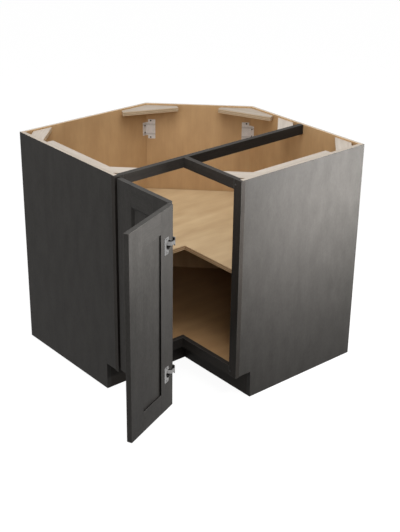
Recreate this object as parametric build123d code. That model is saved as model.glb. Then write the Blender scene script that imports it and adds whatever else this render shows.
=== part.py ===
from build123d import *
import math
import os

# Easy reach corner cabinet with a bi-fold door, in millimetres.
# The origin is the room corner on the floor. The two walls are the planes X=0 and Y=0,
# and the cabinet lies in negative X and negative Y. The left leg's face frame faces -Y,
# the right leg's faces -X. Both legs are mirror images in the plane X=Y.

# Driving dimensions of the cabinet
WALL_LENGTH = 914.4
HEIGHT = 876.3
LEG_DEPTH = 609.6
KICK_HEIGHT = 107.95
KICK_SETBACK = 76.2
DIAGONAL_START = 311.0

# Face frame
FRAME_THICK = 19.0
FRAME_WIDTH = 38.1
TENON_LENGTH = 9.0
TENON_THICK = 8.0
TENON_SHOULDER = 6.0

# Panels
END_THICK = 15.9
END_INSET = 3.0
END_SEAT = 10.0
END_RABBET = 9.5
BACK_THICK = 12.7
FLOOR_THICK = 12.7
FLOOR_DADO = 6.35
KICK_THICK = 12.7

# Blocks and cleats below the worktop
BLOCK_THICK = 16.0
BLOCK_DROP = 6.0
BLOCK_LEG = 120.0
BLOCK_TIP = 37.0
WIDE_BLOCK_LEG = 125.0
WIDE_BLOCK_END = 24.0
CLEAT_WIDTH = 36.0
CLEAT_GAP = 16.0

# Shelf and its pins
SHELF_TOP = 507.5
SHELF_THICK = 17.5
SHELF_FRONT = 567.0
SHELF_GAP = 2.0
PIN_LIFT_GAP = 0.3
PIN_STUD_R = 2.5
PIN_STUD_LENGTH = 9.0
PIN_SPOON = 10.0
PIN_WIDTH = 9.0
PIN_PLATE = 2.0
PIN_DROP = 12.0
PIN_PLACES_ON_END = (-525.0, -70.0)
PIN_PLACES_ON_BACK = (-790.0, -370.0)

# Corner brackets
BRACKET_PLATE = 1.6
BRACKET_WALL_WIDTH = 19.0
BRACKET_TAB_START = 7.5
BRACKET_TAB_END = 37.0
BRACKET_BODY = (742.0, 797.0)
BRACKET_TABS = (728.0, 810.0)
BRACKET_RIB = 1.4
BRACKET_RIBS = (748.0, 788.0)
BRACKET_SCREWS_WALL = (754.0, 783.5)
BRACKET_SCREWS_TABS = (733.5, 804.5)
BRACKET_WALL_SCREW_INSET = 8.0
BRACKET_TAB_SCREW_INSET = 18.0

# Door leaves, closed
LEAF_WIDTH = 275.0
LEAF_THICK = 19.0
LEAF_BOTTOM = 117.5
LEAF_TOP = 870.0
LEAF_GAP = 3.0
LEAF_OVERLAY_EDGE = 6.0
MEMBER_WIDTH = 78.0
PANEL_THICK = 6.3
PANEL_GROOVE = 9.5

# Hinge places and poses
HINGE_HEIGHTS = {"upper": 740.0, "lower": 259.0}
HINGE_AXIS_INSET = 8.0
FOLD_AXIS = (-625.6, -625.6)
DOOR_AT_REST = 90.0
UNFOLDED_AT_REST = 22.0

# Hinge cups
CUP_RADIUS = 17.5
CUP_WALL = 1.0
CUP_FLOOR = 0.6
CUP_FLANGE_WIDTH = 28.0
CUP_FLANGE_HEIGHT = 61.0
CUP_FLANGE_THICK = 1.2
CUP_FLANGE_CORNER = 4.0
CUP_SCREW_SPACING = 48.0
CUP_SCREW_OFFSET = 13.0
STILE_CUP_EDGE = 3.0
STILE_CUP_DEPTH = 15.0
FOLD_CUP_EDGE = 12.0
FOLD_CUP_DEPTH = 13.0

# Stile hinge arm
STILE_PIN_R = 1.5
STILE_PIN_HALF = 10.4
RUNNING_GAP = 0.05
BARREL_R = 2.7
ARM_METAL = 1.6
ARM_HALF = 5.0
ARM_DROP = 2.0
BASE_HALF = 29.0
BASE_SCREW_SPACING = 46.0
BASE_CORNER = 4.0
BASE_INSET = 0.5

# Fold hinge arm and fork
FOLD_PIN_R = 2.0
FOLD_PIN_HALF = 17.5
FOLD_EYE_R = 4.5
FOLD_EYE_HALF = 14.5
FOLD_ARM_METAL = 2.5
FOLD_ARM_HALF = 7.0
FOLD_ARM_RISE = 6.0
FOLD_ARM_BEND = 3.0
FOLD_ARM_FOOT = (-8.0, 4.0, 13.0)
FOLD_ARM_DROP = 2.0
CHEEK_INSIDE = 14.8
CHEEK_METAL = 2.0
FORK_HALF = 26.0
FORK_PLATE = 2.0
FORK_RISE = 3.5
FORK_LENGTH = 30.0
FORK_SCREW_SPACING = 42.0
FORK_SLOPE = 2.5
FORK_LIP = 2.0

# Screws
SCREW_SHANK_R = 1.75
SCREW_HEAD_R = 3.4
SCREW_HEAD = 1.9
SCREW_LENGTH = 12.0
SLIM_SIDES = 10

# Door bumpers on the right stile
BUMPER_R = 4.0
BUMPER_THICK = 2.5
BUMPER_INSET = 30.0
BUMPER_HEIGHTS = (128.0, 856.0)

# Derived planes; the mitre slope is that of the back panels' 135-degree corners
MITRE_SLOPE = math.tan(math.pi / 8)
OUTER = -WALL_LENGTH
FRONT = -LEG_DEPTH
FRAME_BACK = FRONT + FRAME_THICK
KICK_FRONT = FRONT + KICK_SETBACK
OPENING_EDGE = OUTER + FRAME_WIDTH
END_OUT = OUTER + END_INSET
END_IN = END_OUT + END_THICK
BACK_IN = -BACK_THICK
DIAGONAL_INNER = DIAGONAL_START + BACK_THICK * MITRE_SLOPE
FLOOR_TOP = KICK_HEIGHT + FRAME_WIDTH
FLOOR_BOTTOM = FLOOR_TOP - FLOOR_THICK
RAIL_BOTTOM = HEIGHT - FRAME_WIDTH
BLOCK_TOP = HEIGHT - BLOCK_DROP
BLOCK_BOTTOM = BLOCK_TOP - BLOCK_THICK
LEAF_EDGE = OUTER + LEAF_OVERLAY_EDGE
LEAF_FOLD_EDGE = LEAF_EDGE + LEAF_WIDTH
LEAF_BACK = FRONT - LEAF_GAP
LEAF_FACE = LEAF_BACK - LEAF_THICK
STILE_AXIS = (LEAF_EDGE + HINGE_AXIS_INSET, LEAF_FACE + HINGE_AXIS_INSET)
STILE_CUP_X = LEAF_EDGE + STILE_CUP_EDGE + CUP_RADIUS
FOLD_CUP_X = LEAF_FOLD_EDGE - FOLD_CUP_EDGE - CUP_RADIUS
INNER_LEFT = LEAF_EDGE + MEMBER_WIDTH
INNER_RIGHT = LEAF_FOLD_EDGE - MEMBER_WIDTH
INNER_BOTTOM = LEAF_BOTTOM + MEMBER_WIDTH
INNER_TOP = LEAF_TOP - MEMBER_WIDTH
UP = (0, 0, 1)
DEPTHWAYS = (0, 1, 0)
INTO_OPENING = (1, 0, 0)
BELOW = (Align.CENTER, Align.CENTER, Align.MAX)


def block(x0, x1, y0, y1, z0, z1):
    """A box between two opposite corners."""
    centre = Pos((x0 + x1) / 2, (y0 + y1) / 2, (z0 + z1) / 2)
    return centre * Box(abs(x1 - x0), abs(y1 - y0), abs(z1 - z0))


def prism(points, z0, z1):
    """A plan outline raised from z0 to z1."""
    return Pos(0, 0, z0) * extrude(Polygon(*points, align=None), z1 - z0, dir=UP)


def swap(shape):
    """The same piece on the other leg: its mirror image in the plane X=Y."""
    return mirror(shape, about=Plane(origin=(0, 0, 0), z_dir=(1, -1, 0)))


def turn(shape, axis, degrees):
    """Turn a shape about a vertical axis, anticlockwise seen from above."""
    return Pos(axis[0], axis[1], 0) * Rot(0, 0, degrees) * Pos(-axis[0], -axis[1], 0) * shape


def strip(points, metal, half, bend):
    """A bent strip on edge: its centreline in plan, its metal thickness, from -half to half in Z."""
    return extrude(trace(FilletPolyline(*points, radius=bend), metal), half, both=True)


def facing(point, normal, shape):
    """Place a shape that was built looking up +Z so that it looks along a level normal, its X level."""
    return Plane(origin=point, x_dir=Vector(normal).cross(Vector(UP)), z_dir=normal) * shape


def plate(width, height, corner, thick):
    """A flat plate standing on z=0, its corners cut off."""
    return extrude(chamfer(Rectangle(width, height).vertices(), corner), thick)


def rod(radius, length):
    """A slim rod from z=0 down, with few sides."""
    return extrude(RegularPolygon(radius, SLIM_SIDES), -length)


def screw():
    """A countersunk screw, its head flush with z=0 and its shank below."""
    head = rod(SCREW_HEAD_R, SCREW_HEAD)
    underside = head.faces().sort_by(Axis.Z)[0]
    return chamfer(underside.edges(), SCREW_HEAD_R - SCREW_SHANK_R) + rod(SCREW_SHANK_R, SCREW_LENGTH)


# Face frame


def left_stile():
    """Stile with a groove behind it for the end panel's front edge, and mortises for both rails."""
    stile = block(OUTER, OPENING_EDGE, FRONT, FRAME_BACK, KICK_HEIGHT, HEIGHT)
    stile -= block(END_OUT, END_IN, FRAME_BACK - END_SEAT, FRAME_BACK, KICK_HEIGHT, HEIGHT)
    stile -= rail_tenon(RAIL_BOTTOM) + rail_tenon(KICK_HEIGHT)
    return stile


def rail_tenon(bottom):
    """Tenon at the stile end of the left rail whose underside is at this height."""
    middle = (FRONT + FRAME_BACK) / 2 - TENON_THICK / 4
    low = bottom + TENON_SHOULDER
    high = bottom + FRAME_WIDTH - TENON_SHOULDER
    return block(OPENING_EDGE - TENON_LENGTH, OPENING_EDGE, middle - TENON_THICK / 2,
                 middle + TENON_THICK / 2, low, high)


def corner_tenon(bottom):
    """Tenon of a right rail where it butts the front of the left rail."""
    middle = (FRONT + FRAME_BACK) / 2
    low = bottom + TENON_SHOULDER
    high = bottom + FRAME_WIDTH - TENON_SHOULDER
    return block(middle - TENON_THICK / 2, middle + TENON_THICK / 2, FRONT, FRONT + TENON_LENGTH,
                 low, high)


def left_rail(bottom, end):
    """A rail along the left frame from the stile to a far end, mortised for the right rail."""
    rail = block(OPENING_EDGE, end, FRONT, FRAME_BACK, bottom, bottom + FRAME_WIDTH)
    return rail + rail_tenon(bottom) - corner_tenon(bottom)


def right_rail(bottom):
    """A rail along the right frame, from its stile to the front of the left rail."""
    rail = block(FRONT, FRAME_BACK, OPENING_EDGE, FRONT, bottom, bottom + FRAME_WIDTH)
    return rail + swap(rail_tenon(bottom)) + corner_tenon(bottom)


# Carcass panels


def left_end_panel():
    """End panel with a toe notch, a rabbet for the back panel and a groove for the floor."""
    panel = block(END_OUT, END_IN, FRAME_BACK - END_SEAT, 0, 0, HEIGHT)
    panel -= block(END_OUT, END_IN, FRONT, KICK_FRONT, 0, KICK_HEIGHT)
    panel -= block(END_IN - END_RABBET, END_IN, BACK_IN, 0, 0, HEIGHT)
    panel -= block(END_IN - FLOOR_DADO, END_IN, FRAME_BACK, BACK_IN, FLOOR_BOTTOM, FLOOR_TOP)
    return panel


def left_back_panel():
    """Back panel on the left wall, mitred where it meets the diagonal panel."""
    outline = [(END_IN - END_RABBET, 0), (-DIAGONAL_START, 0), (-DIAGONAL_INNER, BACK_IN),
               (END_IN - END_RABBET, BACK_IN)]
    return prism(outline, 0, HEIGHT)


def diagonal_back_panel():
    """Panel across the room corner, mitred at both ends."""
    outline = [(-DIAGONAL_START, 0), (0, -DIAGONAL_START), (BACK_IN, -DIAGONAL_INNER),
               (-DIAGONAL_INNER, BACK_IN)]
    return prism(outline, 0, HEIGHT)


def leg_outline(front, end, back, diagonal):
    """Plan of an L-shaped board: its front edges, ends, backs and where its diagonal starts."""
    return [(end, front), (front, front), (front, end), (back, end), (back, -diagonal),
            (-diagonal, back), (end, back)]


def floor_panel():
    """Floor behind the face frame, let into both end panels."""
    outline = leg_outline(FRAME_BACK, END_IN - FLOOR_DADO, BACK_IN, DIAGONAL_INNER)
    return prism(outline, FLOOR_BOTTOM, FLOOR_TOP)


def toe_kick(end):
    """Left toe board from the end panel to a far end, carrying the floor."""
    return block(END_IN, end, KICK_FRONT, KICK_FRONT + KICK_THICK, 0, FLOOR_BOTTOM)


# Blocks, cleats and brackets


def corner_block(corner_x, corner_y, way_x, way_y):
    """Right-angle block in a corner, its tip cut off, its legs along way_x and way_y."""
    local = [(BLOCK_TIP, 0), (BLOCK_LEG, 0), (0, BLOCK_LEG), (0, BLOCK_TIP)]
    return prism([(corner_x + way_x * x, corner_y + way_y * y) for x, y in local],
                 BLOCK_BOTTOM, BLOCK_TOP)


def wide_block():
    """Block in the left 135-degree corner, with blunt ends square to its front edge."""
    corner = Vector(-DIAGONAL_INNER, BACK_IN)
    on_wall = corner + Vector(-1, 0) * WIDE_BLOCK_LEG
    on_diagonal = corner + Vector(1, -1).normalized() * WIDE_BLOCK_LEG
    inward = Vector(-1, 0).rotate(Axis.Z, 67.5) * WIDE_BLOCK_END
    outline = [corner, on_diagonal, on_diagonal + inward, on_wall + inward, on_wall]
    return prism([(p.X, p.Y) for p in outline], BLOCK_BOTTOM, BLOCK_TOP)


def left_cleat():
    """Flat strip along the end panel, its front end cut to the front block's long edge."""
    back = BACK_IN - BLOCK_LEG - CLEAT_GAP
    front = FRAME_BACK + BLOCK_LEG
    outline = [(END_IN, front), (END_IN, back), (END_IN + CLEAT_WIDTH, back),
               (END_IN + CLEAT_WIDTH, front - CLEAT_WIDTH)]
    return prism(outline, BLOCK_BOTTOM, BLOCK_TOP)


def bracket_diagonal(x0, x1, depth, z0, z1):
    """A bar on the diagonal panel's inner face, measured along it from the left inner corner."""
    bar = block(x0, x1, -depth, 0, z0, z1)
    return Pos(-DIAGONAL_INNER, BACK_IN, 0) * Rot(0, 0, -45) * bar


def bracket_screw_places():
    """Where the left bracket's screws sit, with the direction each looks."""
    wall_x = -DIAGONAL_INNER - BRACKET_WALL_SCREW_INSET
    places = [((wall_x, BACK_IN - BRACKET_PLATE, z), (0, -1, 0)) for z in BRACKET_SCREWS_WALL]
    along = Vector(1, -1).normalized() * BRACKET_TAB_SCREW_INSET
    inward = Vector(-1, -1).normalized() * BRACKET_PLATE
    point = Vector(-DIAGONAL_INNER, BACK_IN) + along + inward
    places += [((point.X, point.Y, z), (-1, -1, 0)) for z in BRACKET_SCREWS_TABS]
    return places


def bracket_screws():
    """The left bracket's four screws."""
    return [facing(point, normal, screw()) for point, normal in bracket_screw_places()]


def left_corner_bracket():
    """Pressed angle bracket: a wall leg, a diagonal leg with two tabs, and ribs across its body."""
    low, high = BRACKET_BODY
    bracket = block(-DIAGONAL_INNER - BRACKET_WALL_WIDTH, -DIAGONAL_INNER, BACK_IN - BRACKET_PLATE,
                    BACK_IN, low, high)
    bracket += bracket_diagonal(0, BRACKET_TAB_END, BRACKET_PLATE, low, high)
    bracket += bracket_diagonal(BRACKET_TAB_START, BRACKET_TAB_END, BRACKET_PLATE, *BRACKET_TABS)
    rib = BRACKET_PLATE + BRACKET_RIB
    for z in BRACKET_RIBS:
        bracket += bracket_diagonal(BRACKET_TAB_START, BRACKET_TAB_END, rib, z - BRACKET_RIB,
                                    z + BRACKET_RIB)
    for hole in bracket_screws():
        bracket -= hole
    return bracket


def door_bumpers():
    """Soft round buttons that leaf B's back closes against, on the right stile."""
    button = Pos(0, 0, BUMPER_THICK) * rod(BUMPER_R, BUMPER_THICK)
    return [facing((FRONT, OUTER + BUMPER_INSET, z), (-1, 0, 0), button) for z in BUMPER_HEIGHTS]


# Shelf


def shelf():
    """L-shaped shelf with the rear corner cut off, loose between the panels."""
    outline = leg_outline(-SHELF_FRONT, END_IN + SHELF_GAP, BACK_IN - SHELF_GAP,
                          DIAGONAL_INNER + SHELF_GAP * MITRE_SLOPE)
    return prism(outline, SHELF_TOP - SHELF_THICK, SHELF_TOP)


def shelf_pin():
    """Pin with a spoon: the wall is the plane x=0, its stud points to -X, the spoon's top is z=0."""
    half = PIN_WIDTH / 2
    pin = block(0, PIN_SPOON, -half, half, -PIN_PLATE, 0)
    pin += block(0, PIN_PLATE, -half, half, -PIN_DROP, 0)
    return pin + facing((0, 0, -PIN_DROP / 2), INTO_OPENING, rod(PIN_STUD_R, PIN_STUD_LENGTH))


def left_shelf_pins():
    """The left leg's pins: two on the end panel and two on the back panel."""
    height = SHELF_TOP - SHELF_THICK - PIN_LIFT_GAP
    pins = [Pos(END_IN, y, height) * shelf_pin() for y in PIN_PLACES_ON_END]
    pins += [Pos(x, BACK_IN, height) * Rot(0, 0, -90) * shelf_pin() for x in PIN_PLACES_ON_BACK]
    return pins


# Door leaves, closed, on the left leg


def leaf_member(x0, x1, z0, z1):
    """A plain door member between two corners, full thickness."""
    return block(x0, x1, LEAF_FACE, LEAF_BACK, z0, z1)


def leaf_tongue(x0, x1, z0, z1):
    """The space of the centre panel's thickness between two corners."""
    middle = (LEAF_FACE + LEAF_BACK) / 2
    return block(x0, x1, middle - PANEL_THICK / 2, middle + PANEL_THICK / 2, z0, z1)


def leaf_pieces():
    """The five wooden pieces of a leaf: stiles grooved for the panel, rails with stub tenons."""
    seat = leaf_tongue(INNER_LEFT - PANEL_GROOVE, INNER_RIGHT + PANEL_GROOVE,
                       INNER_BOTTOM - PANEL_GROOVE, INNER_TOP + PANEL_GROOVE)
    tenons = leaf_tongue(INNER_LEFT - PANEL_GROOVE, INNER_RIGHT + PANEL_GROOVE, LEAF_BOTTOM, LEAF_TOP)
    edge_stile = leaf_member(LEAF_EDGE, INNER_LEFT, LEAF_BOTTOM, LEAF_TOP) - tenons
    fold_stile = leaf_member(INNER_RIGHT, LEAF_FOLD_EDGE, LEAF_BOTTOM, LEAF_TOP) - tenons
    rails = leaf_member(INNER_LEFT, INNER_RIGHT, LEAF_BOTTOM, LEAF_TOP)
    bottom_rail = (rails + tenons) & block(OUTER, FRONT, LEAF_FACE, LEAF_BACK, LEAF_BOTTOM, INNER_BOTTOM)
    top_rail = (rails + tenons) & block(OUTER, FRONT, LEAF_FACE, LEAF_BACK, INNER_TOP, LEAF_TOP)
    return {"edge_stile": edge_stile, "fold_stile": fold_stile, "bottom_rail": bottom_rail - seat,
            "top_rail": top_rail - seat, "panel": seat}


# Hinges


def cup_screws(x):
    """The two screws of a cup's flange, whose centre is this far from the cup's centre."""
    return [facing((x, CUP_FLANGE_THICK, side * CUP_SCREW_SPACING / 2), DEPTHWAYS, screw())
            for side in (-1, 1)]


def cup_bore(depth):
    """The round space that a cup fills, its mouth in the plane y=0 and looking along +Y."""
    return facing((0, 0, 0), DEPTHWAYS, Cylinder(CUP_RADIUS, depth, align=BELOW))


def hinge_cup(depth):
    """A pressed cup with a screw flange to one side, towards +X."""
    wing = plate(CUP_FLANGE_WIDTH, CUP_FLANGE_HEIGHT, CUP_FLANGE_CORNER, CUP_FLANGE_THICK)
    flange = facing((CUP_FLANGE_WIDTH / 2, 0, 0), DEPTHWAYS, wing)
    rise = depth + CUP_FLANGE_THICK
    outside = Cylinder(CUP_RADIUS, rise, align=BELOW)
    inside = Cylinder(CUP_RADIUS - CUP_WALL, rise - CUP_FLOOR, align=BELOW)
    mouth = (0, CUP_FLANGE_THICK, 0)
    cup = flange + facing(mouth, DEPTHWAYS, outside) - facing(mouth, DEPTHWAYS, inside)
    for hole in cup_screws(CUP_SCREW_OFFSET):
        cup -= hole
    return cup


def stile_hinge_arm():
    """Barrel round the pin, arm out of the cup, and base on the stile's inner edge, at z=0."""
    x, y = STILE_AXIS
    riser = OPENING_EDGE + ARM_METAL / 2
    low = y - ARM_DROP
    arm = strip([(x, low), (riser, low), (riser, FRAME_BACK)], ARM_METAL, ARM_HALF, ARM_METAL)
    barrel = Pos(x, y, 0) * Cylinder(BARREL_R, 2 * ARM_HALF)
    foot = plate(FRAME_THICK - 2 * BASE_INSET, 2 * BASE_HALF, BASE_CORNER, ARM_METAL)
    base = facing((OPENING_EDGE, (FRONT + FRAME_BACK) / 2, 0), INTO_OPENING, foot)
    bore = Pos(x, y, 0) * Cylinder(STILE_PIN_R + RUNNING_GAP, 4 * ARM_HALF)
    arm = arm + barrel + base - bore
    for hole in base_screws():
        arm -= hole
    return arm


def base_screws():
    """The two screws that hold an arm's base to the stile's inner edge, at z=0."""
    middle = (FRONT + FRAME_BACK) / 2
    return [facing((OPENING_EDGE + ARM_METAL, middle, side * BASE_SCREW_SPACING / 2), INTO_OPENING, screw())
            for side in (-1, 1)]


def fork_outline():
    """Plan of the fork: a low body on leaf A's back, then a cheek round the edge to an eight-sided eye."""
    x, y = FOLD_AXIS
    rear = LEAF_FOLD_EDGE - FORK_LENGTH
    crown = LEAF_BACK + FORK_RISE
    half = FOLD_EYE_R * MITRE_SLOPE
    return Polygon((rear, LEAF_BACK), (rear + FORK_SLOPE, crown), (LEAF_FOLD_EDGE, crown),
                   (x + FOLD_EYE_R, y + half), (x + FOLD_EYE_R, y - half), (x + half, y - FOLD_EYE_R),
                   (x - half, y - FOLD_EYE_R), (x - FOLD_EYE_R, y - half), (LEAF_FOLD_EDGE, LEAF_BACK),
                   align=None)


def fold_fork():
    """Winged body on leaf A's back with two cheeks that reach round its edge, at z=0."""
    x, y = FOLD_AXIS
    reach = 2 * FOLD_EYE_R
    crown = LEAF_BACK + FORK_RISE
    body = extrude(fork_outline(), CHEEK_INSIDE + CHEEK_METAL, both=True)
    body -= block(LEAF_FOLD_EDGE, x + reach, y - reach, crown, -CHEEK_INSIDE, CHEEK_INSIDE)
    wings = block(LEAF_FOLD_EDGE - FORK_LENGTH - FORK_LIP, LEAF_FOLD_EDGE, LEAF_BACK,
                  LEAF_BACK + FORK_PLATE, -FORK_HALF, FORK_HALF)
    fork = body + wings - Pos(x, y, 0) * Cylinder(FOLD_PIN_R, 4 * FORK_HALF)
    for hole in fork_screws():
        fork -= hole
    return fork


def fork_screws():
    """The two screws in the wings of the fork's plate, at z=0."""
    x = LEAF_FOLD_EDGE - (FORK_LENGTH + FORK_LIP) / 2
    return [facing((x, LEAF_BACK + FORK_PLATE, side * FORK_SCREW_SPACING / 2), DEPTHWAYS, screw())
            for side in (-1, 1)]


def fold_arm():
    """Arm from the cup's floor over the leaf's edge, then a taller end down to the fold pin, at z=0."""
    x, y = FOLD_AXIS
    floor = LEAF_BACK - FOLD_CUP_DEPTH + CUP_FLOOR + FOLD_ARM_METAL / 2
    crown = LEAF_BACK + FOLD_ARM_RISE
    heel, toe, top = (FOLD_CUP_X + offset for offset in FOLD_ARM_FOOT)
    end = x - FOLD_ARM_DROP
    bend = end - FOLD_ARM_BEND
    arm = strip([(heel, floor), (toe, floor), (top, crown), (bend, crown)], FOLD_ARM_METAL,
                FOLD_ARM_HALF, FOLD_ARM_BEND)
    arm += strip([(bend - FOLD_ARM_METAL, crown), (end, crown), (end, y)], FOLD_ARM_METAL,
                 FOLD_EYE_HALF, FOLD_ARM_BEND)
    arm += Pos(x, y, 0) * Cylinder(FOLD_EYE_R, 2 * FOLD_EYE_HALF)
    return arm - Pos(x, y, 0) * Cylinder(FOLD_PIN_R + RUNNING_GAP, 4 * FOLD_EYE_HALF)


# Assembly

pieces = {}


def add(name, *solids):
    """Keep one node: a single solid, or a group of separate ones."""
    pieces[name] = solids[0] if len(solids) == 1 else Compound(children=list(solids))


def drill(wood, *groups):
    """Take the spaces of screws, pins and cups out of a wooden piece."""
    for group in groups:
        for solid in group:
            wood -= solid
    return wood


# Everything fixed, the right leg's pieces as mirror images
pins = left_shelf_pins()
screws = bracket_screws()
base_screw_sets = [[Pos(0, 0, z) * s for s in base_screws()] for z in HINGE_HEIGHTS.values()]

end_panel = drill(left_end_panel(), pins[:2])
back_panel = drill(left_back_panel(), pins[2:], screws[:2])
right_screws = [swap(s) for s in screws]
add("left_end_panel", end_panel)
add("right_end_panel", swap(end_panel))
add("left_back_panel", back_panel)
add("right_back_panel", swap(back_panel))
add("diagonal_back_panel", drill(diagonal_back_panel(), screws[2:], right_screws[2:]))
add("floor_panel", floor_panel())
add("left_stile", drill(left_stile(), *base_screw_sets))
add("right_stile", swap(left_stile()))
add("long_top_rail", left_rail(RAIL_BOTTOM, BACK_IN))
add("right_top_rail", right_rail(RAIL_BOTTOM))
add("left_bottom_rail", left_rail(KICK_HEIGHT, FRAME_BACK))
add("right_bottom_rail", right_rail(KICK_HEIGHT))
add("left_toe_kick", toe_kick(KICK_FRONT + KICK_THICK))
add("right_toe_kick", swap(toe_kick(KICK_FRONT)))
add("left_rear_block", corner_block(END_IN, BACK_IN, 1, -1))
add("right_rear_block", swap(corner_block(END_IN, BACK_IN, 1, -1)))
add("left_front_block", corner_block(END_IN, FRAME_BACK, 1, 1))
add("right_front_block", swap(corner_block(END_IN, FRAME_BACK, 1, 1)))
add("side_wall_block", corner_block(BACK_IN, FRAME_BACK, -1, 1))
add("left_wide_block", wide_block())
add("right_wide_block", swap(wide_block()))
add("left_top_cleat", left_cleat())
add("right_top_cleat", swap(left_cleat()))
add("left_corner_bracket", left_corner_bracket())
add("right_corner_bracket", swap(left_corner_bracket()))
add("bracket_screws", *screws, *right_screws)
add("shelf_pins", *pins, *[swap(p) for p in pins])
add("door_bumpers", *door_bumpers())
add("shelf", shelf())
for place, z in HINGE_HEIGHTS.items():
    add(f"{place}_stile_hinge_arm", Pos(0, 0, z) * stile_hinge_arm())
add("stile_base_screws", *base_screw_sets[0], *base_screw_sets[1])


def leaf_a_place(shape):
    """Move a piece of leaf A from the closed door to the door as it stands open."""
    return turn(shape, STILE_AXIS, -DOOR_AT_REST)


def leaf_b_place(shape):
    """Move a piece of leaf B, built on the left leg, to its place on the open and folded door."""
    return leaf_a_place(turn(swap(shape), FOLD_AXIS, UNFOLDED_AT_REST))


# Leaf A, hinged on the left stile
leaf = leaf_pieces()
cup_a = Pos(STILE_CUP_X, LEAF_BACK, 0)
cup_b = Pos(FOLD_CUP_X, LEAF_BACK, 0) * Rot(0, 180, 0)
stile_pin = Pos(STILE_AXIS[0], STILE_AXIS[1], 0) * Cylinder(STILE_PIN_R, 2 * STILE_PIN_HALF)
fold_pin = Pos(FOLD_AXIS[0], FOLD_AXIS[1], 0) * Cylinder(FOLD_PIN_R, 2 * FOLD_PIN_HALF)
lifts = [Pos(0, 0, z) for z in HINGE_HEIGHTS.values()]

cup_a_screws = [lift * cup_a * s for lift in lifts for s in cup_screws(CUP_SCREW_OFFSET)]
cup_b_screws = [lift * cup_b * s for lift in lifts for s in cup_screws(CUP_SCREW_OFFSET)]
fork_screw_set = [lift * s for lift in lifts for s in fork_screws()]
bores_a = [lift * cup_a * cup_bore(STILE_CUP_DEPTH) for lift in lifts]
bores_b = [lift * cup_b * cup_bore(FOLD_CUP_DEPTH) for lift in lifts]

add("a_hinge_stile", leaf_a_place(drill(leaf["edge_stile"], bores_a, cup_a_screws)))
add("a_fold_stile", leaf_a_place(drill(leaf["fold_stile"], fork_screw_set)))
for name in ("top_rail", "bottom_rail", "panel"):
    add(f"a_{name}", leaf_a_place(leaf[name]))
for place, lift in zip(HINGE_HEIGHTS, lifts):
    add(f"{place}_stile_hinge_cup", leaf_a_place(lift * (cup_a * hinge_cup(STILE_CUP_DEPTH) - stile_pin)))
    add(f"{place}_fold_hinge_fork", leaf_a_place(lift * fold_fork()))
add("stile_hinge_pins", *[leaf_a_place(lift * stile_pin) for lift in lifts])
add("fold_hinge_pins", *[leaf_a_place(lift * fold_pin) for lift in lifts])
add("stile_cup_screws", *[leaf_a_place(s) for s in cup_a_screws])
add("fork_screws", *[leaf_a_place(s) for s in fork_screw_set])

# Leaf B, folding on leaf A
add("b_free_stile", leaf_b_place(leaf["edge_stile"]))
add("b_fold_stile", leaf_b_place(drill(leaf["fold_stile"], bores_b, cup_b_screws)))
for name in ("top_rail", "bottom_rail", "panel"):
    add(f"b_{name}", leaf_b_place(leaf[name]))
for place, lift in zip(HINGE_HEIGHTS, lifts):
    add(f"{place}_fold_hinge_cup", leaf_b_place(lift * cup_b * hinge_cup(FOLD_CUP_DEPTH)))
    add(f"{place}_fold_hinge_arm", leaf_b_place(lift * fold_arm()))
add("fold_cup_screws", *[leaf_b_place(s) for s in cup_b_screws])

os.makedirs("parts", exist_ok=True)
for node, shape in pieces.items():
    export_step(shape, f"parts/{node}.step")
print(len(pieces), "nodes written")
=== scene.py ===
import math

import bmesh
import bpy
from mathutils import Matrix, Vector


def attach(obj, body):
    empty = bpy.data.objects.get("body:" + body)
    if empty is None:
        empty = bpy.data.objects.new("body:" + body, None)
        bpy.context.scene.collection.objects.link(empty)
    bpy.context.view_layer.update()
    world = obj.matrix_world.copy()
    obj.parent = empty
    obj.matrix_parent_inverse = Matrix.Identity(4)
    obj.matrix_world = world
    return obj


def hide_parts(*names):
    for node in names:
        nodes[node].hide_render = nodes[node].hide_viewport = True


# Corner cabinet with a bi-fold door. Everything is in metres, in the frame of the CAD model:
# the origin is the room corner on the floor, and the walls are the planes X=0 and Y=0.

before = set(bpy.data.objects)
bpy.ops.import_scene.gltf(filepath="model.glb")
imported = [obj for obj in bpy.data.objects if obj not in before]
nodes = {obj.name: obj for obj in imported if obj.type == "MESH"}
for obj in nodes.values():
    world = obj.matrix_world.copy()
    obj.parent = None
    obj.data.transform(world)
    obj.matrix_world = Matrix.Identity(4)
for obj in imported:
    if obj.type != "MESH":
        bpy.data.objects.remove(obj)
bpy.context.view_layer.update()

X = Vector((1, 0, 0))
Y = Vector((0, 1, 0))
Z = Vector((0, 0, 1))

# Woods, linear: the dark and the light of the grain
STAIN = ((0.023, 0.0220, 0.0200), (0.0755, 0.0710, 0.0668))
# Paler stain for eased edges: a painted highlight
HIGHLIGHT_STAIN = ((0.042, 0.0395, 0.0365), (0.098, 0.0925, 0.0860))
# A darker copy of the stain for the face frame and toe kicks: painted shade
SHADED_FRAME_STAIN = ((0.0165, 0.0145, 0.0127), (0.0545, 0.0480, 0.0425))
# A very dark stain for the end panels' eased corners: painted shade
EDGE_SHADE_STAIN = ((0.010, 0.0093, 0.0085), (0.026, 0.0243, 0.0225))
# A darker copy of the door's stain for the sloped mouldings: painted shade in the panel recess
SHADED_MOULDING_STAIN = ((0.018, 0.0170, 0.0158), (0.054, 0.0507, 0.0475))
MAPLE = ((0.36, 0.215, 0.100), (0.60, 0.395, 0.205))
# Darker maple for the floor panel: painted shade in the lower compartment
SHADED_FLOOR_MAPLE = ((0.265, 0.146, 0.063), (0.44, 0.27, 0.130))
SHELF_MAPLE = ((0.35, 0.235, 0.125), (0.57, 0.43, 0.255))
RAW = ((0.31, 0.262, 0.215), (0.51, 0.455, 0.395))
WIDE_RAW = ((0.25, 0.205, 0.158), (0.42, 0.36, 0.30))

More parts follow.
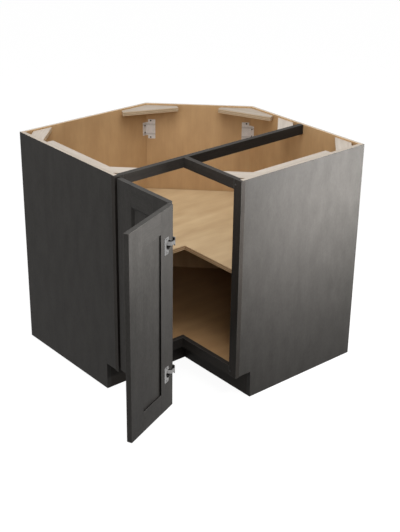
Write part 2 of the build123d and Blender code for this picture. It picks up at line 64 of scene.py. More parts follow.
# Veneer layers, linear: the dark and the light of the wood, and what lies beside them
PLY = ((0.24, 0.14, 0.075), (0.62, 0.46, 0.29))
SHELF_EDGE = ((0.31, 0.175, 0.085), (0.78, 0.56, 0.33))
RAW_EDGE = ((0.29, 0.205, 0.125), (0.68, 0.54, 0.37))
BACK_EDGE = (0.47, 0.44, 0.40)
GLUE = (0.10, 0.055, 0.03)
# Painted shade for the door members' inner edges, as if in the shadow of the panel recess
RECESS_PAINTED_SHADE = (0.011, 0.0102, 0.0095)

# Metals and rubber, linear
ZINC = (0.80, 0.78, 0.785)
NICKEL = (0.31, 0.305, 0.30)
SCREW_DARK = (0.055, 0.045, 0.04)
SCREW_STEEL = (0.13, 0.125, 0.12)
RUBBER = (0.02, 0.018, 0.017)

# Noises of a board: squeeze along the grain, scale, detail, roughness and distortion
FIBRES = (0.02, 420.0, 3.0, 0.6, 0.0)
STREAKS = (0.05, 130.0, 3.0, 0.5, 0.4)
CLOUDS = (0.40, 24.0, 3.0, 0.5, 0.0)
MOTTLE = (0.50, 150.0, 4.0, 0.65, 0.0)
BANDS = (0.10, 9.0, 2.0, 0.5, 0.6)

# Gloss, roughness and relief of wood. A pair of roughnesses goes with the low and the high of a noise
NOISE_SPAN = (0.3, 0.7)
STAIN_ROUGH = (0.40, 0.50)
CLEAR_ROUGH = (0.42, 0.52)
RAW_ROUGH = (0.62, 0.74)
END_ROUGH = (0.68, 0.46)
STAIN_GLOSS = 0.04
CLEAR_GLOSS = 0.35
SEALED_BUMP = 0.10
RAW_BUMP = 0.25
GRAIN_DEPTH = 0.0006

# The least share of a surface's normal that counts as facing a direction
FACING = 0.6

# Eased edges: how near corners weld, the least angle that is eased, and the widths
WELD_REACH = 0.00001
SHARP_ANGLE = math.radians(40)
FRAME_EASE = 0.0010
END_EASE = 0.0011
BOARD_EASE = 0.0006
PLY_EASE = 0.0004
BRACKET_EASE = 0.0003
FORK_EASE = 0.00025

# Boards whose layers show
BACK_THICK = 0.0127
DIAGONAL_START = -0.2326
SHELF_BOTTOM = 0.490
SHELF_THICK = 0.0175
BLOCK_BOTTOM = 0.8543
BLOCK_THICK = 0.016
PLIES = 5

# Layers: where a back's pale outer half starts, and a glue line's fading ends, both as shares of a thickness
OUTER_START = (0.35, 0.55)
LINE_END = (0.14, 0.04)
LINE_START = (0.86, 0.96)
LAYER_WAVER = 0.0008

# Studio: the world's light, and the floor's size, gap below the cabinet, glow, shadow depth and bounce
WORLD_LIGHT = 0.41
FLOOR_REACH = 12.0
FLOOR_GAP = 0.0005
FLOOR_GLOW = 0.95
FLOOR_SHADOW = 0.10
FLOOR_BOUNCE = 0.08

# Lamps: name, place, the point that each looks at, watts, width and height
LAMPS = (
    ("key", (-1.3, -2.3, 2.9), (-0.5, -0.6, 0.6), 8.5, 1.2, 1.2),
    ("top", (-0.6, -0.7, 3.2), (-0.5, -0.5, 0.5), 60.0, 1.8, 1.8),
    ("left", (-3.0, -0.5, 1.4), (-0.9, -0.5, 0.5), 15.0, 1.2, 1.2),
    ("right_front", (0.0, -1.40, 0.785), (0.0, -0.9, 0.785), 24.0, 1.0, 0.11),
    ("door_front", (-1.0, -1.28, 0.87), (-0.99, -0.9, 0.87), 2.0, 0.24, 0.06),
)

# Camera: where it stands, what it looks at, its sensor and lens in millimetres, and its shift
CAMERA_PLACE = (-2.9537, -3.4380, 2.1980)
CAMERA_TARGET = (-0.635, -0.541, 0.438)
CAMERA_SENSOR = 36.0
CAMERA_LENS = 74.17
CAMERA_SHIFT = (0.0637, -0.0024)
CAMERA_REACH = 100.0


# Node helpers


class Tree:
    """A material with short calls for its nodes."""

    def __init__(self, name):
        self.material = bpy.data.materials.new(name)
        self.material.use_nodes = True
        self.nodes = self.material.node_tree.nodes
        self.links = self.material.node_tree.links
        self.nodes.clear()
        self.coordinates = self.nodes.new("ShaderNodeTexCoord")
        self.shader = self.nodes.new("ShaderNodeBsdfPrincipled")
        output = self.nodes.new("ShaderNodeOutputMaterial")
        self.links.new(self.shader.outputs["BSDF"], output.inputs["Surface"])

    def feed(self, socket, value):
        """Set a socket's value, or link it."""
        if isinstance(value, bpy.types.NodeSocket):
            self.links.new(value, socket)
        elif isinstance(value, Vector):
            socket.default_value = tuple(value)
        elif isinstance(value, tuple) and socket.type == "RGBA":
            socket.default_value = (*value, 1.0)
        else:
            socket.default_value = value

    def math(self, operation, *values):
        """A scalar operation on values or sockets."""
        node = self.nodes.new("ShaderNodeMath")
        node.operation = operation
        for socket, value in zip(node.inputs, values):
            self.feed(socket, value)
        return node.outputs[0]

    def vector(self, operation, *values):
        """A vector operation on values or sockets."""
        node = self.nodes.new("ShaderNodeVectorMath")
        node.operation = operation
        for socket, value in zip(node.inputs, values):
            self.feed(socket, value)
        return node.outputs["Value"] if operation == "DOT_PRODUCT" else node.outputs["Vector"]

    def scaled(self, vector, amount):
        """A vector times a number."""
        node = self.nodes.new("ShaderNodeVectorMath")
        node.operation = "SCALE"
        self.feed(node.inputs["Vector"], vector)
        self.feed(node.inputs["Scale"], amount)
        return node.outputs["Vector"]

    def noise(self, vector, scale, detail=2.0, roughness=0.5, distortion=0.0):
        """Noise from 0 to 1."""
        node = self.nodes.new("ShaderNodeTexNoise")
        self.feed(node.inputs["Vector"], vector)
        node.inputs["Scale"].default_value = scale
        node.inputs["Detail"].default_value = detail
        node.inputs["Roughness"].default_value = roughness
        node.inputs["Distortion"].default_value = distortion
        return node.outputs["Fac"]

    def ranged(self, value, low, high, to_low=0.0, to_high=1.0, smooth=False):
        """A value's range moved to another, clamped."""
        node = self.nodes.new("ShaderNodeMapRange")
        if smooth:
            node.interpolation_type = "SMOOTHSTEP"
        for name, number in (("From Min", low), ("From Max", high), ("To Min", to_low), ("To Max", to_high)):
            node.inputs[name].default_value = number
        self.feed(node.inputs["Value"], value)
        return node.outputs["Result"]

    def mix(self, factor, first, second):
        """A colour between two."""
        node = self.nodes.new("ShaderNodeMix")
        node.data_type = "RGBA"
        self.feed(node.inputs["Factor"], factor)
        self.feed(node.inputs[6], first)
        self.feed(node.inputs[7], second)
        return node.outputs[2]

    def clamped(self, value):
        """A value held between 0 and 1."""
        return self.math("MINIMUM", self.math("MAXIMUM", value, 0.0), 1.0)

    def part(self, vector, axis):
        """One component of a vector."""
        return self.vector("DOT_PRODUCT", vector, axis)

    def bump(self, height, strength, distance):
        """A bump for the shader's normal."""
        node = self.nodes.new("ShaderNodeBump")
        node.inputs["Strength"].default_value = strength
        node.inputs["Distance"].default_value = distance
        self.feed(node.inputs["Height"], height)
        self.links.new(node.outputs["Normal"], self.shader.inputs["Normal"])


def grain_space(tree, axis, offset, squeeze):
    """Object coordinates moved by an offset and squeezed along the grain."""
    point = tree.vector("ADD", tree.coordinates.outputs["Object"], offset)
    along = tree.part(point, axis)
    shift = tree.scaled(axis, tree.math("MULTIPLY", along, squeeze - 1.0))
    return tree.vector("ADD", point, shift)


def grain_noises(tree, axis, offset, *kinds):
    """Noises of a board, each from 0 to 1 and drawn out along the grain."""
    return [tree.noise(grain_space(tree, axis, offset, squeeze), *settings) for squeeze, *settings in kinds]


def blend_of(tree, noises, weights):
    """0.5 plus the sum of noises, each about its middle and times its weight."""
    total = 0.5
    for value, weight in zip(noises, weights):
        centred = tree.math("MULTIPLY", tree.math("SUBTRACT", value, 0.5), weight)
        total = tree.math("ADD", total, centred)
    return tree.clamped(total)


def stain_colour(tree, axis, offset, tones=STAIN, grain=1.0):
    """Charcoal stain, thin enough to show the grain. Returns colour, grain height and roughness."""
    noises = grain_noises(tree, axis, offset, FIBRES, STREAKS, CLOUDS, MOTTLE)
    tone = blend_of(tree, noises, (0.34 * grain, 0.28 * grain, 0.45, 0.25 + 0.30 * grain))
    return tree.mix(tone, *tones), noises[0], tree.ranged(noises[1], *NOISE_SPAN, *STAIN_ROUGH)


def clear_colour(tree, axis, offset, tones=MAPLE):
    """Clear coated maple veneer. Returns colour, grain height and roughness."""
    noises = grain_noises(tree, axis, offset, FIBRES, STREAKS, CLOUDS, BANDS)
    tone = blend_of(tree, noises, (0.24, 0.16, 0.75, 0.70))
    return tree.mix(tone, *tones), noises[0], tree.ranged(noises[2], *NOISE_SPAN, *CLEAR_ROUGH)


def raw_colour(tree, axis, offset, tones=RAW):
    """Raw pale hardwood. Returns colour, grain height and roughness."""
    noises = grain_noises(tree, axis, offset, FIBRES, STREAKS, CLOUDS)
    tone = blend_of(tree, noises, (0.70, 0.80, 0.30))
    return tree.mix(tone, *tones), noises[0], tree.ranged(noises[0], *NOISE_SPAN, *RAW_ROUGH)


def ply_colour(tree, across, start, thickness, offset):
    """Veneer layers seen on a level edge, stacked along a direction, the outer ones pale."""
    point = tree.coordinates.outputs["Object"]
    depth = tree.math("SUBTRACT", tree.part(point, across), start)
    layer = tree.math("MULTIPLY", depth, math.pi * PLIES / thickness)
    wave = tree.math("MULTIPLY_ADD", tree.math("SINE", layer), 0.5, 0.5)
    band = tree.ranged(wave, 0.35, 0.65, smooth=True)
    speckle = tree.noise(tree.vector("ADD", point, offset), 260.0)
    tone = tree.math("ADD", tree.math("MULTIPLY", band, 0.75), tree.math("MULTIPLY", speckle, 0.35))
    outer = tree.ranged(tree.math("DIVIDE", depth, thickness), *OUTER_START)
    return tree.mix(outer, tree.mix(tone, *PLY), BACK_EDGE)


def layered_edge(tree, start, thickness, offset, tones, glue):
    """Glued veneer layers seen on an upright edge: thin dark lines between wavering pale and brown layers."""
    point = tree.coordinates.outputs["Object"]
    waver = tree.noise(tree.vector("ADD", point, offset), 18.0)
    place = tree.math("ADD", tree.part(point, Z), tree.math("MULTIPLY", waver, LAYER_WAVER))
    layer = tree.math("MULTIPLY", tree.math("SUBTRACT", place, start), PLIES / thickness)
    within = tree.math("FRACT", layer)
    line = tree.math("MAXIMUM", tree.ranged(within, *LINE_END), tree.ranged(within, *LINE_START))
    turned = tree.math("GREATER_THAN", tree.math("FRACT", tree.math("MULTIPLY", layer, 0.5)), 0.5)
    speckle = tree.noise(tree.vector("ADD", point, offset), 340.0, detail=3.0, roughness=0.6)
    grain = tree.math("MULTIPLY_ADD", speckle, 0.6, 0.45)
    tone = tree.math("ADD", tree.math("MULTIPLY", turned, -0.55), grain)
    return tree.mix(tree.math("MULTIPLY", line, glue), tree.mix(tree.clamped(tone), *tones), GLUE)


def faces_along(tree, direction):
    """1 where the surface faces a direction, in the object's own frame."""
    return tree.math("GREATER_THAN", tree.part(tree.coordinates.outputs["Normal"], direction), FACING)


def level_faces(tree):
    """1 on level surfaces, above and below."""
    upward = tree.part(tree.coordinates.outputs["Normal"], Z)
    return tree.math("GREATER_THAN", tree.math("ABSOLUTE", upward), FACING)


def offset_for(name):
    """A fixed shift of the grain for each piece, so that no two boards look alike."""
    total = sum((i + 1) * ord(letter) for i, letter in enumerate(name))
    return Vector((total % 7 * 0.53, total % 11 * 0.37, total % 13 * 0.41))


def finish_wood(tree, colour, height, rough, bump=SEALED_BUMP, gloss=CLEAR_GLOSS):
    """Join a wood's colour, roughness and grain relief to its shader."""
    tree.feed(tree.shader.inputs["Base Color"], colour)
    tree.feed(tree.shader.inputs["Roughness"], rough)
    tree.shader.inputs["Specular IOR Level"].default_value = gloss
    tree.bump(height, bump, GRAIN_DEPTH)


def dress(name, tree):
    """Give a CAD node its material."""
    mesh = nodes[name].data
    mesh.materials.clear()
    mesh.materials.append(tree.material)


def flat_faces():
    """A node group that shades every face of a mesh flat, by its own plane."""
    group = bpy.data.node_groups.new("flat_faces", "GeometryNodeTree")
    group.interface.new_socket("Geometry", in_out="INPUT", socket_type="NodeSocketGeometry")
    group.interface.new_socket("Geometry", in_out="OUTPUT", socket_type="NodeSocketGeometry")
    start = group.nodes.new("NodeGroupInput")
    end = group.nodes.new("NodeGroupOutput")
    drop = group.nodes.new("GeometryNodeRemoveAttribute")
    drop.inputs["Name"].default_value = "custom_normal"
    flat = group.nodes.new("GeometryNodeSetShadeSmooth")
    flat.inputs["Shade Smooth"].default_value = False
    group.links.new(start.outputs[0], drop.inputs["Geometry"])
    group.links.new(drop.outputs["Geometry"], flat.inputs["Geometry"])
    group.links.new(flat.outputs["Geometry"], end.inputs[0])
    return group


FLAT = flat_faces()


def ease(name, width, segments=2, edges=None):
    """Round a piece's sharp edges a little, and give them their own material if there is one."""
    weld = nodes[name].modifiers.new("weld", "WELD")
    weld.merge_threshold = WELD_REACH
    bevel = nodes[name].modifiers.new("ease", "BEVEL")
    bevel.width = width
    bevel.segments = segments
    bevel.limit_method = "ANGLE"
    bevel.angle_limit = SHARP_ANGLE
    if edges:
        nodes[name].data.materials.append(edges.material)
        bevel.material = 1
    nodes[name].modifiers.new("flat", "NODES").node_group = FLAT


# Stained wood: the face frame, toe kicks and door; their eased edges get a paler stain, a painted highlight

OPEN_ANGLE = math.radians(-90)
FOLD_ANGLE = math.radians(22)
LEAF_A_ALONG = Matrix.Rotation(OPEN_ANGLE, 3, "Z") @ X
LEAF_B_ALONG = Matrix.Rotation(OPEN_ANGLE + FOLD_ANGLE, 3, "Z") @ Y

# The inner edges of the door's members look towards its panels; they get painted shade, as if in the shadow
# of the recess
SHADED_INNER_EDGES = {
    "a_hinge_stile": LEAF_A_ALONG, "a_fold_stile": -LEAF_A_ALONG, "b_free_stile": LEAF_B_ALONG,
    "b_fold_stile": -LEAF_B_ALONG, "a_top_rail": -Z, "b_top_rail": -Z, "a_bottom_rail": Z, "b_bottom_rail": Z,
}
STAINED = {
    "left_stile": Z, "right_stile": Z, "long_top_rail": X, "left_bottom_rail": X,
    "right_top_rail": Y, "right_bottom_rail": Y, "left_toe_kick": X, "right_toe_kick": Y,
    "a_hinge_stile": Z, "a_fold_stile": Z, "a_panel": Z,
    "a_top_rail": LEAF_A_ALONG, "a_bottom_rail": LEAF_A_ALONG,
    "b_free_stile": Z, "b_fold_stile": Z, "b_panel": Z,
    "b_top_rail": LEAF_B_ALONG, "b_bottom_rail": LEAF_B_ALONG,
}
for name, axis in STAINED.items():
    tree = Tree("stain_" + name)
    shift = offset_for(name)
    # The face frame and toe kicks take the darker stain, painted shade
    tones = STAIN if name.startswith(("a_", "b_")) else SHADED_FRAME_STAIN
    colour, height, rough = stain_colour(tree, axis, shift, tones)
    # Painted shade on the inner edges that face the panels
    if name in SHADED_INNER_EDGES:
        colour = tree.mix(faces_along(tree, SHADED_INNER_EDGES[name]), colour, RECESS_PAINTED_SHADE)
    finish_wood(tree, colour, height, rough, gloss=STAIN_GLOSS)
    dress(name, tree)
    # The eased edges get the paler stain, a painted highlight
    painted_highlight = Tree("painted_highlight_" + name)
    finish_wood(painted_highlight, *stain_colour(painted_highlight, axis, shift, HIGHLIGHT_STAIN), gloss=STAIN_GLOSS)
    ease(name, FRAME_EASE, edges=painted_highlight)

# End panels: stained outside, clear maple inside, raw on the cut edges, and painted shade as a very dark
# stain on their eased corners

for name, out, front in (("left_end_panel", -X, -Y), ("right_end_panel", -Y, -X)):
    tree = Tree("end_" + name)
    shift = offset_for(name)
    stain, height, _ = stain_colour(tree, Z, shift, grain=0.25)
    maple = clear_colour(tree, Z, shift)[0]
    raw = raw_colour(tree, -front, shift)[0]
    inside = faces_along(tree, -out)
    stained = tree.math("MAXIMUM", faces_along(tree, out), faces_along(tree, front))
    colour = tree.mix(stained, tree.mix(inside, raw, maple), stain)
    rough = tree.ranged(stained, 0.0, 1.0, *END_ROUGH)
    finish_wood(tree, colour, height, rough, gloss=STAIN_GLOSS)
    dress(name, tree)
    # The eased corners get the very dark stain, painted shade
    edges = Tree("shaded_edges_" + name)
    finish_wood(edges, *stain_colour(edges, Z, shift, EDGE_SHADE_STAIN), gloss=STAIN_GLOSS)
    ease(name, END_EASE, edges=edges)

# Back panels and floor: clear maple with ply edges; the floor's maple is darker, painted shade for the lower
# compartment

BACKS = {
    "left_back_panel": (Y, -BACK_THICK),
    "right_back_panel": (X, -BACK_THICK),
    "diagonal_back_panel": ((X + Y).normalized(), DIAGONAL_START),
}
for name, (across, start) in BACKS.items():
    tree = Tree("maple_" + name)
    shift = offset_for(name)
    colour, height, rough = clear_colour(tree, Z, shift)
    layers = ply_colour(tree, across, start, BACK_THICK, shift)
    finish_wood(tree, tree.mix(faces_along(tree, Z), colour, layers), height, rough)
    dress(name, tree)
    ease(name, PLY_EASE)

# The floor gets the darker maple, painted shade
tree = Tree("maple_floor")
finish_wood(tree, *clear_colour(tree, X, offset_for("floor_panel"), SHADED_FLOOR_MAPLE))
dress("floor_panel", tree)

# Shelf: clear maple, veneer layers on its edges

tree = Tree("shelf")
shift = offset_for("shelf")
colour, height, rough = clear_colour(tree, X, shift, SHELF_MAPLE)
layers = layered_edge(tree, SHELF_BOTTOM, SHELF_THICK, shift, SHELF_EDGE, glue=0.65)
finish_wood(tree, tree.mix(level_faces(tree), layers, colour), height, rough)
dress("shelf", tree)
ease("shelf", BOARD_EASE)

# Raw blocks and cleats, with faint layers on their edges

DIAGONAL = (X + Y).normalized()
ACROSS = (X - Y).normalized()
WIDE_TURN = math.radians(22.5)
RAW_PIECES = {
    "left_rear_block": DIAGONAL, "right_rear_block": DIAGONAL, "side_wall_block": DIAGONAL,
    "left_front_block": ACROSS, "right_front_block": -ACROSS,
    "left_wide_block": Matrix.Rotation(-WIDE_TURN, 3, "Z") @ X,
    "right_wide_block": Matrix.Rotation(WIDE_TURN, 3, "Z") @ Y,
    "left_top_cleat": Y, "right_top_cleat": X,
}
for name, axis in RAW_PIECES.items():
    tree = Tree("raw_" + name)
    shift = offset_for(name)
    colour, height, rough = raw_colour(tree, axis, shift, WIDE_RAW if "wide" in name else RAW)
    layers = layered_edge(tree, BLOCK_BOTTOM, BLOCK_THICK, shift, RAW_EDGE, glue=0.35)
    finish_wood(tree, tree.mix(level_faces(tree), layers, colour), height, rough, bump=RAW_BUMP)
    dress(name, tree)
    ease(name, BOARD_EASE)


# Metal: how much darker smudges are, the heights of the brackets' ribs, and the painted shade in the creases
# beside them

DULLED = 0.65
BRACKET_RIBS = (0.748, 0.788)
CREASE_SHADE_START = (0.0010, 0.0016)
CREASE_SHADE_END = (0.0032, 0.0024)
CREASE_SHADE_DEPTH = 0.65


def metal(name, colour, rough, scale, metallic=1.0):
    """Plated metal, or rubber, with faint smudges and specks."""
    tree = Tree(name)
    smudge = tree.noise(tree.coordinates.outputs["Object"], scale, detail=3.0, roughness=0.6)
    speck = tree.noise(tree.coordinates.outputs["Object"], scale * 14.0)
    dull = tuple(part * DULLED for part in colour)
    tree.feed(tree.shader.inputs["Base Color"], tree.mix(smudge, dull, colour))
    tree.feed(tree.shader.inputs["Roughness"], tree.ranged(smudge, 0.3, 0.7, rough - 0.06, rough + 0.08))
    tree.shader.inputs["Metallic"].default_value = metallic
    tree.bump(speck, 0.05, 0.0002)
    return tree


def add_crease_shades(tree, heights, colour):
    """Paint shade as thin dark level lines on a material, where pressed ribs meet the plate."""
    height = tree.part(tree.coordinates.outputs["Object"], Z)
    near = None
    for rib in heights:
        distance = tree.math("ABSOLUTE", tree.math("SUBTRACT", height, rib))
        near = distance if near is None else tree.math("MINIMUM", near, distance)
    # Painted shade: a thin dark line on each side of a rib
    crease_shade = tree.math("MULTIPLY", tree.ranged(near, *CREASE_SHADE_START), tree.ranged(near, *CREASE_SHADE_END))
    base = tree.shader.inputs["Base Color"]
    plain = base.links[0].from_socket
    tree.feed(base, tree.mix(tree.math("MULTIPLY", crease_shade, CREASE_SHADE_DEPTH), plain, colour))


zinc = metal("zinc", ZINC, 0.50, 60.0, metallic=0.25)
# The brackets get painted shade in the creases beside their ribs
add_crease_shades(zinc, BRACKET_RIBS, SCREW_DARK)
nickel = metal("nickel", NICKEL, 0.26, 70.0)
dark_steel = metal("dark_steel", SCREW_DARK, 0.40, 300.0)
bright_steel = metal("bright_steel", SCREW_STEEL, 0.34, 300.0)
rubber = metal("rubber", RUBBER, 0.65, 200.0, metallic=0.0)

for name in nodes:
    if name.endswith("corner_bracket"):
        dress(name, zinc)
        ease(name, BRACKET_EASE, segments=1)
    elif name == "shelf_pins":
        dress(name, bright_steel)
    elif "hinge" in name and not name.endswith("stile"):
        dress(name, nickel)
        if name.endswith("fork"):
            ease(name, FORK_EASE, segments=1)


def new_piece(name, mesh, tree):
    """Turn finished mesh code into an object with a material."""
    bmesh.ops.recalc_face_normals(mesh, faces=mesh.faces)
    data = bpy.data.meshes.new(name)
    mesh.to_mesh(data)
    mesh.free()
    data.materials.append(tree.material)
    piece = bpy.data.objects.new(name, data)
    bpy.context.scene.collection.objects.link(piece)
    return piece


# Sloped mouldings round the panels, on the front of each leaf, as (distance in from the frame, rise)

MOULDING = (
    (0.0, 0.0061), (0.0010, 0.0059), (0.0028, 0.0049), (0.0084, 0.0014), (0.0100, 0.0008), (0.0106, 0.0),
)


def reach(name, direction):
    """The least and the greatest place of a node's corners along a direction."""
    places = [corner.co.dot(direction) for corner in nodes[name].data.vertices]
    return min(places), max(places)


def add_moulding(leaf, edge_stile, along, front):
    """A mitred moulding from the front of a leaf's frame down to its panel."""
    left = reach(edge_stile, along)[1]
    right = reach(leaf + "_fold_stile", along)[0]
    bottom = reach(leaf + "_bottom_rail", Z)[1]
    top = reach(leaf + "_top_rail", Z)[0]
    face = reach(leaf + "_panel", front)[1]
    mesh = bmesh.new()
    rings = []
    for inset, rise in MOULDING:
        corners = ((left + inset, bottom + inset), (right - inset, bottom + inset),
                   (right - inset, top - inset), (left + inset, top - inset))
        rings.append([mesh.verts.new(along * u + Z * v + front * (face + rise)) for u, v in corners])
    rings.append([mesh.verts.new(corner.co - front * MOULDING[0][1]) for corner in rings[0]])
    for first, second in zip(rings, rings[1:] + rings[:1]):
        for i in range(4):
            j = (i + 1) % 4
            mesh.faces.new((first[i], first[j], second[j], second[i]))
    name = leaf + "_panel_moulding"
    tree = Tree("moulding_" + leaf)
    # The mouldings take the darker stain, painted shade
    finish_wood(tree, *stain_colour(tree, Z, offset_for(name), SHADED_MOULDING_STAIN), gloss=STAIN_GLOSS)
    piece = new_piece(name, mesh, tree)
    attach(piece, "leaf_" + leaf)


add_moulding("a", "a_hinge_stile", LEAF_A_ALONG, -X)
add_moulding("b", "b_free_stile", LEAF_B_ALONG, LEAF_B_ALONG.cross(-Z))

# Screws with a cross recess, and domed bumpers, at the places of the plain CAD ones.
# A profile's points are (radius, height).

SIDES = 32
SMOOTH_ANGLE = math.radians(35)
HEAD_R = 0.0034
SHANK_R = 0.00175
CORE_R = 0.0016
SCREW_LENGTH = 0.012
HEAD_PROFILE = (
    (0.00322, 0.0), (HEAD_R, -0.00016), (HEAD_R, -0.0003), (SHANK_R, -0.0019),
    (CORE_R, -0.0020), (CORE_R, -0.0105), (0.0003, -0.0119),
)
BUMPER_R = 0.0039
DOME_R = 0.0036
BUMPER_PROFILE = (
    (0.0002, 0.00248), (0.0014, 0.0024), (0.0025, 0.0021), (0.0033, 0.0015),
    (DOME_R, 0.0009), (DOME_R, 0.0006), (BUMPER_R, 0.0005), (BUMPER_R, 0.0),
)

# The cross recess: reach and half width of its arms at the mouth and at the floor, and its depth
RECESS_MOUTH = (0.0020, 0.00042)
RECESS_FLOOR = (0.0011, 0.00028)
RECESS_DEPTH = 0.0011


def solids_of(name):
    """The corners of each separate solid of a node."""
    mesh = bmesh.new()
    mesh.from_mesh(nodes[name].data)
    bmesh.ops.remove_doubles(mesh, verts=mesh.verts, dist=0.000001)
    left = dict.fromkeys(mesh.verts)
    solids = []
    while left:
        group = []
        reached = [left.popitem()[0]]
        while reached:
            corner = reached.pop()
            group.append(corner.co.copy())
            for edge in corner.link_edges:
                other = edge.other_vert(corner)
                if other in left:
                    del left[other]
                    reached.append(other)
        solids.append(group)
    mesh.free()
    return solids


def middle(points):
    """The mean of points."""
    return sum(points, Vector()) / len(points)


def upright(origin, direction):
    """A frame at a point whose Z looks along a direction."""
    return Matrix.Translation(origin) @ direction.to_track_quat("Z", "Y").to_matrix().to_4x4()


def screw_frame(solid):
    """The frame of a screw's head: its centre, looking out of the wood."""
    centre = middle(solid)
    tip = middle(sorted(solid, key=lambda corner: -(corner - centre).length)[:10])
    out = (centre - tip).normalized()
    return upright(tip + out * SCREW_LENGTH, out)


def lathe(mesh, profile, place):
    """Turn a profile of (radius, height) round Z. Returns its rings of corners."""
    rings = []
    for radius, height in profile:
        turns = [math.tau * i / SIDES for i in range(SIDES)]
        points = [Vector((radius * math.cos(turn), radius * math.sin(turn), height)) for turn in turns]
        rings.append([mesh.verts.new(place @ point) for point in points])
    for upper, lower in zip(rings, rings[1:]):
        for i in range(SIDES):
            j = (i + 1) % SIDES
            mesh.faces.new((upper[i], lower[i], lower[j], upper[j]))
    return rings


def cross_outline(reach, half, height):
    """The twelve corners of a cross."""
    arm = ((reach, -half), (reach, half), (half, half))
    points = []
    for c, s in ((1, 0), (0, 1), (-1, 0), (0, -1)):
        points += [Vector((x * c - y * s, x * s + y * c, height)) for x, y in arm]
    return points


def ring_edges(mesh, ring):
    """The edges of a closed ring of corners."""
    return [mesh.edges.get((ring[i - 1], ring[i])) for i in range(len(ring))]


def add_screw(mesh, place):
    """A countersunk screw whose head has a cross recess."""
    rings = lathe(mesh, HEAD_PROFILE, place)
    mesh.faces.new(reversed(rings[-1]))
    mouth = [mesh.verts.new(place @ point) for point in cross_outline(*RECESS_MOUTH, 0.0)]
    bottom = [mesh.verts.new(place @ point) for point in cross_outline(*RECESS_FLOOR, -RECESS_DEPTH)]
    for i in range(len(mouth)):
        mesh.faces.new((mouth[i - 1], bottom[i - 1], bottom[i], mouth[i]))
    mesh.faces.new(bottom)
    rim = ring_edges(mesh, rings[0]) + ring_edges(mesh, mouth)
    bmesh.ops.triangle_fill(mesh, use_beauty=True, use_dissolve=False, edges=rim)


def add_bumper(mesh, place):
    """A soft domed button on a thin foot."""
    rings = lathe(mesh, BUMPER_PROFILE, place)
    mesh.faces.new(rings[0])
    mesh.faces.new(reversed(rings[-1]))


def stand_in(name, node, body, tree, frames, add):
    """A new piece for a CAD node: the same small thing at each of its places."""
    mesh = bmesh.new()
    for place in frames:
        add(mesh, place)
    piece = new_piece(name, mesh, tree)
    piece.data.shade_smooth()
    piece.data.set_sharp_from_angle(angle=SMOOTH_ANGLE)
    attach(piece, body)
    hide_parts(node)


def bumper_frame(solid):
    """The frame of a bumper's foot on the face frame, looking out of it."""
    foot = middle([corner for corner in solid if corner.x > middle(solid).x])
    return upright(foot, -X)


SCREWS = {
    "bracket_screws": ("carcass", "dark_screw", dark_steel),
    "stile_base_screws": ("carcass", "hinge_screw", bright_steel),
    "stile_cup_screws": ("leaf_a", "hinge_screw", bright_steel),
    "fork_screws": ("leaf_a", "hinge_screw", bright_steel),
    "fold_cup_screws": ("leaf_b", "hinge_screw", bright_steel),
}
for node, (body, slot, tree) in SCREWS.items():
    frames = [screw_frame(solid) for solid in solids_of(node)]
    stand_in("cross_" + node, node, body, tree, frames, add_screw)
bumper_frames = [bumper_frame(solid) for solid in solids_of("door_bumpers")]
stand_in("domed_bumpers", "door_bumpers", "carcass", rubber, bumper_frames, add_bumper)


# Floor, lamps and camera


def aim(thing, place, target):
    """Put a lamp or camera at a place, looking at a point."""
    thing.location = place
    thing.rotation_euler = (Vector(target) - Vector(place)).to_track_quat("-Z", "Y").to_euler()


def lamp(name, place, target, power, width, height):
    """A soft rectangular lamp looking at a point, not seen by the camera."""
    data = bpy.data.lights.new(name, "AREA")
    data.shape = "RECTANGLE"
    data.size = width
    data.size_y = height
    data.energy = power
    lamp_object = bpy.data.objects.new(name, data)
    bpy.context.scene.collection.objects.link(lamp_object)
    aim(lamp_object, place, target)
    lamp_object.visible_camera = False


def seen_or_lit(tree, seen, lit, output):
    """Show one surface to camera, glossy and transmission rays, and the other to diffuse light."""
    path = tree.nodes.new("ShaderNodeLightPath")
    straight = path.outputs["Is Camera Ray"]
    for other in ("Is Glossy Ray", "Is Transmission Ray"):
        either = tree.nodes.new("ShaderNodeMath")
        either.operation = "MAXIMUM"
        tree.links.new(straight, either.inputs[0])
        tree.links.new(path.outputs[other], either.inputs[1])
        straight = either.outputs[0]
    choice = tree.nodes.new("ShaderNodeMixShader")
    tree.links.new(straight, choice.inputs["Fac"])
    tree.links.new(lit, choice.inputs[1])
    tree.links.new(seen, choice.inputs[2])
    tree.links.new(choice.outputs[0], output)


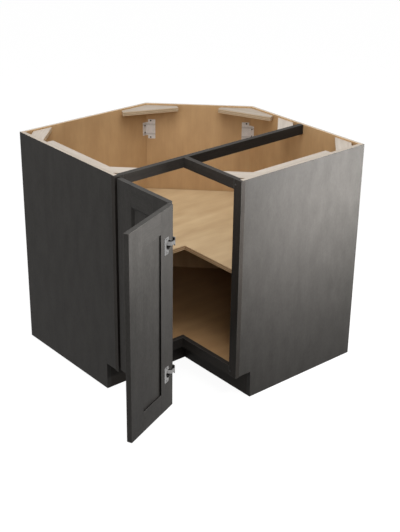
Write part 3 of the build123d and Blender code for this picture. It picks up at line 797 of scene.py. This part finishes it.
def shade(tree, kind, grey, strength=None):
    """A plain grey shader of one kind."""
    node = tree.nodes.new(kind)
    node.inputs["Color"].default_value = (grey, grey, grey, 1.0)
    if strength is not None:
        node.inputs["Strength"].default_value = strength
    return node.outputs[0]


world = bpy.data.worlds.new("studio")
bpy.context.scene.world = world
world.use_nodes = True
sky = world.node_tree
sky.nodes.clear()
white = shade(sky, "ShaderNodeBackground", 1.0, 1.0)
ambient = shade(sky, "ShaderNodeBackground", 1.0, WORLD_LIGHT)
seen_or_lit(sky, white, ambient, sky.nodes.new("ShaderNodeOutputWorld").inputs["Surface"])

floor_mesh = bpy.data.meshes.new("floor")
corners = [(-FLOOR_REACH, -FLOOR_REACH, 0), (FLOOR_REACH, -FLOOR_REACH, 0),
           (FLOOR_REACH, FLOOR_REACH, 0), (-FLOOR_REACH, FLOOR_REACH, 0)]
floor_mesh.from_pydata(corners, [], [(0, 1, 2, 3)])
floor = bpy.data.objects.new("floor", floor_mesh)
floor.location.z = -FLOOR_GAP
bpy.context.scene.collection.objects.link(floor)
paper = bpy.data.materials.new("paper")
paper.use_nodes = True
sheet = paper.node_tree
sheet.nodes.clear()
glow = sheet.nodes.new("ShaderNodeAddShader")
sheet.links.new(shade(sheet, "ShaderNodeEmission", 1.0, FLOOR_GLOW), glow.inputs[0])
sheet.links.new(shade(sheet, "ShaderNodeBsdfDiffuse", FLOOR_SHADOW), glow.inputs[1])
seen_or_lit(sheet, glow.outputs[0], shade(sheet, "ShaderNodeBsdfDiffuse", FLOOR_BOUNCE),
            sheet.nodes.new("ShaderNodeOutputMaterial").inputs["Surface"])
floor_mesh.materials.append(paper)

for settings in LAMPS:
    lamp(*settings)

camera = bpy.data.objects.new("camera", bpy.data.cameras.new("camera"))
aim(camera, CAMERA_PLACE, CAMERA_TARGET)
camera.data.sensor_width = CAMERA_SENSOR
camera.data.lens = CAMERA_LENS
camera.data.shift_x, camera.data.shift_y = CAMERA_SHIFT
camera.data.clip_end = CAMERA_REACH
bpy.context.scene.collection.objects.link(camera)
bpy.context.scene.camera = camera
bpy.context.scene.view_settings.view_transform = "Standard"
